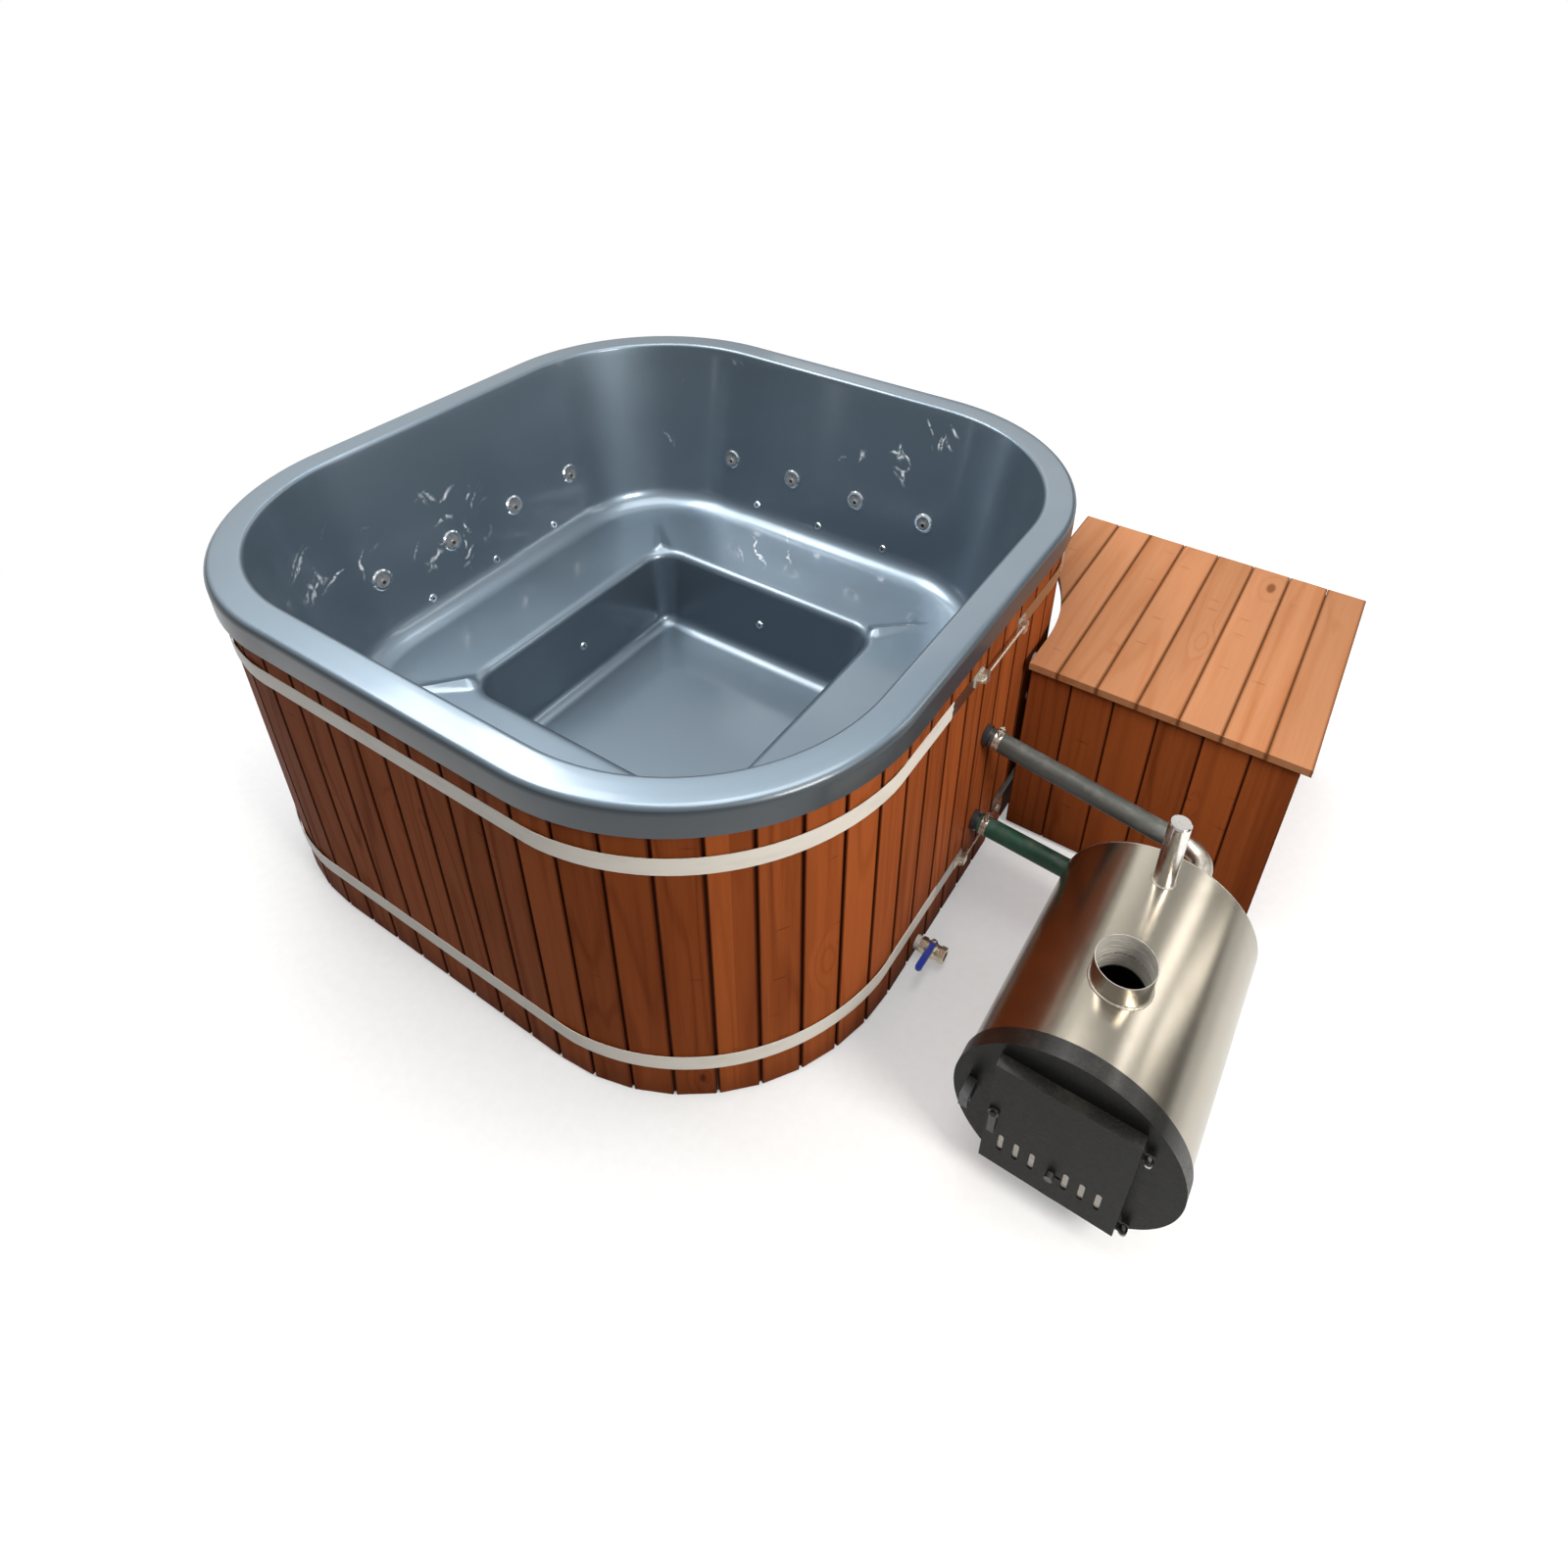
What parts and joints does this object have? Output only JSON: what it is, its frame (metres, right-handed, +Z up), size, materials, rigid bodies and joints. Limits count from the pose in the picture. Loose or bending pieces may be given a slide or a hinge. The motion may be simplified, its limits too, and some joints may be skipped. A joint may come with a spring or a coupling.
{
  "type": "wood-fired hot tub",
  "caption": "Square wood-fired hot tub: moulded seat liner in a banded stave jacket, outside stove joined by hoses, and a lidded technical box.",
  "frame": {"origin": "on the floor under the middle of the square tub", "axes": "+Z up along the flue collar's bore; -Y towards the side the stove door faces; +X towards the side with the hoses, stove and box"},
  "size_m": [2.762, 2.111, 0.99],
  "materials": {
    "gelcoat": "glossy blue-grey metallic gelcoat",
    "stained_spruce": "red-brown stained spruce, satin",
    "lid_spruce": "orange-brown stained spruce, satin",
    "frame_timber": "sawn timber",
    "plywood": "plywood",
    "filmed_band": "stainless band with white film",
    "bright_steel": "stainless",
    "chrome": "polished",
    "jet_grey": "grey plastic",
    "white_pvc": "white pipe",
    "grey_rubber": "dark grey rubber",
    "green_rubber": "dark green rubber",
    "brass": "nickel plated brass",
    "blue_lever": "blue dipped lever",
    "stove_steel": "brushed stainless",
    "dark_steel": "dark hammered paint",
    "sooty_steel": "heat darkened steel",
    "cast_iron": "cast",
    "black_plastic": "black"
  },
  "bodies": {
    "tub": {"tub_liner": "gelcoat", "staves_straight": "stained_spruce", "staves_drilled": "stained_spruce", "staves_corner": "stained_spruce", "band_upper": "filmed_band", "band_lower": "filmed_band", "band_lugs": "bright_steel", "band_bolts": "bright_steel", "floor_bearers": "frame_timber", "base_panel": "plywood", "ring_frames": "frame_timber", "frame_posts": "frame_timber", "jet_bodies": "chrome", "air_nozzles": "chrome", "jet_water_pipe": "white_pvc", "jet_air_pipe": "white_pvc", "port_fittings": "black_plastic", "hose_clamps": "bright_steel", "upper_hose": "grey_rubber", "lower_hose": "green_rubber", "drain_fitting": "bright_steel", "drain_pipe": "white_pvc", "valve_body": "brass", "stove_shell": "stove_steel", "stove_back_plate": "stove_steel", "stove_front_plate": "dark_steel", "firebox": "sooty_steel", "grate": "cast_iron", "flue_collar": "stove_steel", "vent_stub": "stove_steel", "water_spigots": "stove_steel", "stove_feet": "dark_steel", "door_hinge_brackets": "bright_steel", "latch_catch": "bright_steel", "box_frame": "frame_timber", "box_front_boards": "stained_spruce", "box_side_boards": "stained_spruce", "box_back_boards": "stained_spruce", "lid_hinge_leaves": "bright_steel", "massage_pump": "black_plastic", "air_blower": "black_plastic"},
    "jet_nozzle_1": {"jet_nozzle_1": "jet_grey"},
    "jet_nozzle_2": {"jet_nozzle_2": "jet_grey"},
    "jet_nozzle_3": {"jet_nozzle_3": "jet_grey"},
    "jet_nozzle_4": {"jet_nozzle_4": "jet_grey"},
    "jet_nozzle_5": {"jet_nozzle_5": "jet_grey"},
    "jet_nozzle_6": {"jet_nozzle_6": "jet_grey"},
    "jet_nozzle_7": {"jet_nozzle_7": "jet_grey"},
    "jet_nozzle_8": {"jet_nozzle_8": "jet_grey"},
    "valve_lever": {"valve_ball": "chrome", "valve_lever": "blue_lever", "valve_lever_nut": "bright_steel"},
    "stove_door": {"stove_door": "dark_steel"},
    "door_latch": {"door_latch": "dark_steel"},
    "air_slide": {"air_slide": "stove_steel", "air_slide_knob": "black_plastic"},
    "box_lid": {"lid_boards": "lid_spruce", "lid_battens": "frame_timber", "lid_hinge_flaps": "bright_steel"}
  },
  "joints": [
    {"name": "jet_spin_1", "type": "hinge", "parent": "tub", "child": "jet_nozzle_1", "pos_m": [-0.82083, -0.402, 0.6], "axis": [0.9744, 0, 0.225], "continuous": true},
    {"name": "jet_spin_2", "type": "hinge", "parent": "tub", "child": "jet_nozzle_2", "pos_m": [-0.82083, -0.134, 0.6], "axis": [0.9744, 0, 0.225], "continuous": true},
    {"name": "jet_spin_3", "type": "hinge", "parent": "tub", "child": "jet_nozzle_3", "pos_m": [-0.82083, 0.134, 0.6], "axis": [0.9744, 0, 0.225], "continuous": true},
    {"name": "jet_spin_4", "type": "hinge", "parent": "tub", "child": "jet_nozzle_4", "pos_m": [-0.82083, 0.402, 0.6], "axis": [0.9744, 0, 0.225], "continuous": true},
    {"name": "jet_spin_5", "type": "hinge", "parent": "tub", "child": "jet_nozzle_5", "pos_m": [-0.402, 0.82083, 0.6], "axis": [0, -0.9744, 0.225], "continuous": true},
    {"name": "jet_spin_6", "type": "hinge", "parent": "tub", "child": "jet_nozzle_6", "pos_m": [-0.134, 0.82083, 0.6], "axis": [0, -0.9744, 0.225], "continuous": true},
    {"name": "jet_spin_7", "type": "hinge", "parent": "tub", "child": "jet_nozzle_7", "pos_m": [0.134, 0.82083, 0.6], "axis": [0, -0.9744, 0.225], "continuous": true},
    {"name": "jet_spin_8", "type": "hinge", "parent": "tub", "child": "jet_nozzle_8", "pos_m": [0.402, 0.82083, 0.6], "axis": [0, -0.9744, 0.225], "continuous": true},
    {"name": "drain_valve_turn", "type": "hinge", "parent": "tub", "child": "valve_lever", "pos_m": [1.035, -0.25, 0.042], "axis": [0, 0, 1], "range_deg": [0, 90]},
    {"name": "stove_door_hinge", "type": "hinge", "parent": "tub", "child": "stove_door", "pos_m": [1.675, -0.663, 0.383], "axis": [0, 0, 1], "range_deg": [0, 110]},
    {"name": "door_latch_turn", "type": "hinge", "parent": "stove_door", "child": "door_latch", "pos_m": [1.375, -0.6815, 0.281], "axis": [0, 1, 0], "range_deg": [0, 90]},
    {"name": "air_slide_move", "type": "slide", "parent": "stove_door", "child": "air_slide", "axis": [1, 0, 0], "range_m": [0, 0.0175]},
    {"name": "box_lid_hinge", "type": "hinge", "parent": "tub", "child": "box_lid", "pos_m": [1.106, 1.106, 0.628], "axis": [-1, 0, 0], "range_deg": [0, 95]}
  ]
}
